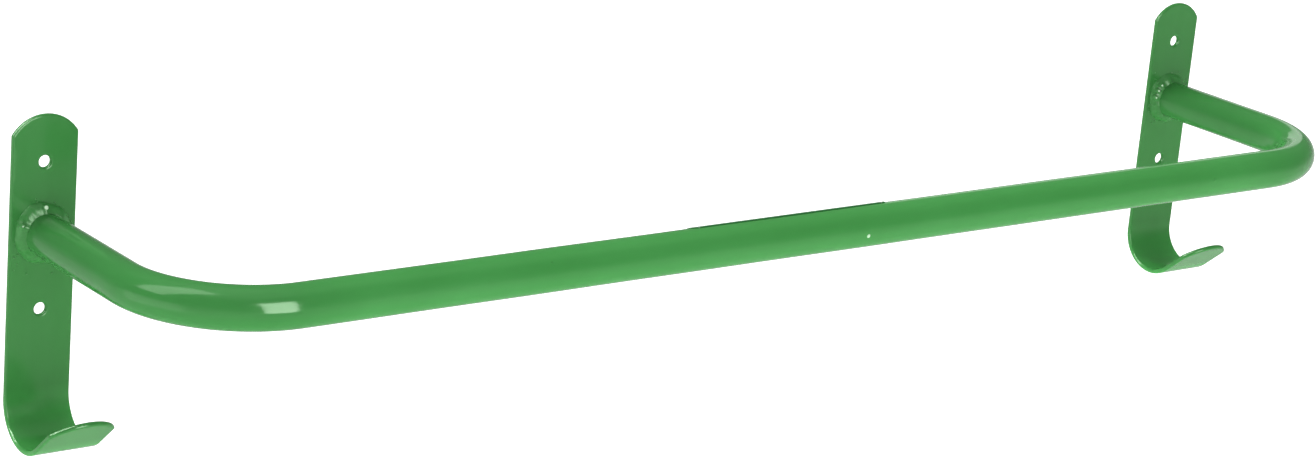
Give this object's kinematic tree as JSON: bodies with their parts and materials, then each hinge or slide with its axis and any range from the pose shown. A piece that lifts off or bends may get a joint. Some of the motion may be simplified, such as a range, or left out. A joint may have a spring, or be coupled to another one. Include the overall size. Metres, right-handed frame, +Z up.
{
  "type": "wall-mounted blanket rail",
  "caption": "Wall rail for a horse blanket: a bent steel tube welded to flat-bar brackets whose lower ends curl into hooks",
  "frame": {"origin": "centre of the four screw holes, on the plane of the wall", "axes": "+X along the wall and the rail, to the right as seen from the front; +Y into the wall, the way the screws go; +Z up. The rail stands out towards -Y."},
  "size_m": [0.91, 0.1765, 0.1872],
  "materials": {
    "green_paint_bar": "gloss",
    "green_paint_tube": "gloss",
    "green_paint_weld": "gloss",
    "dark_label": "satin"
  },
  "bodies": {
    "root": {"left_bracket": "green_paint_bar", "right_bracket": "green_paint_bar", "rail_tube": "green_paint_tube", "left_weld_bead": "green_paint_weld", "right_weld_bead": "green_paint_weld", "rail_label": "dark_label"}
  },
  "joints": []
}
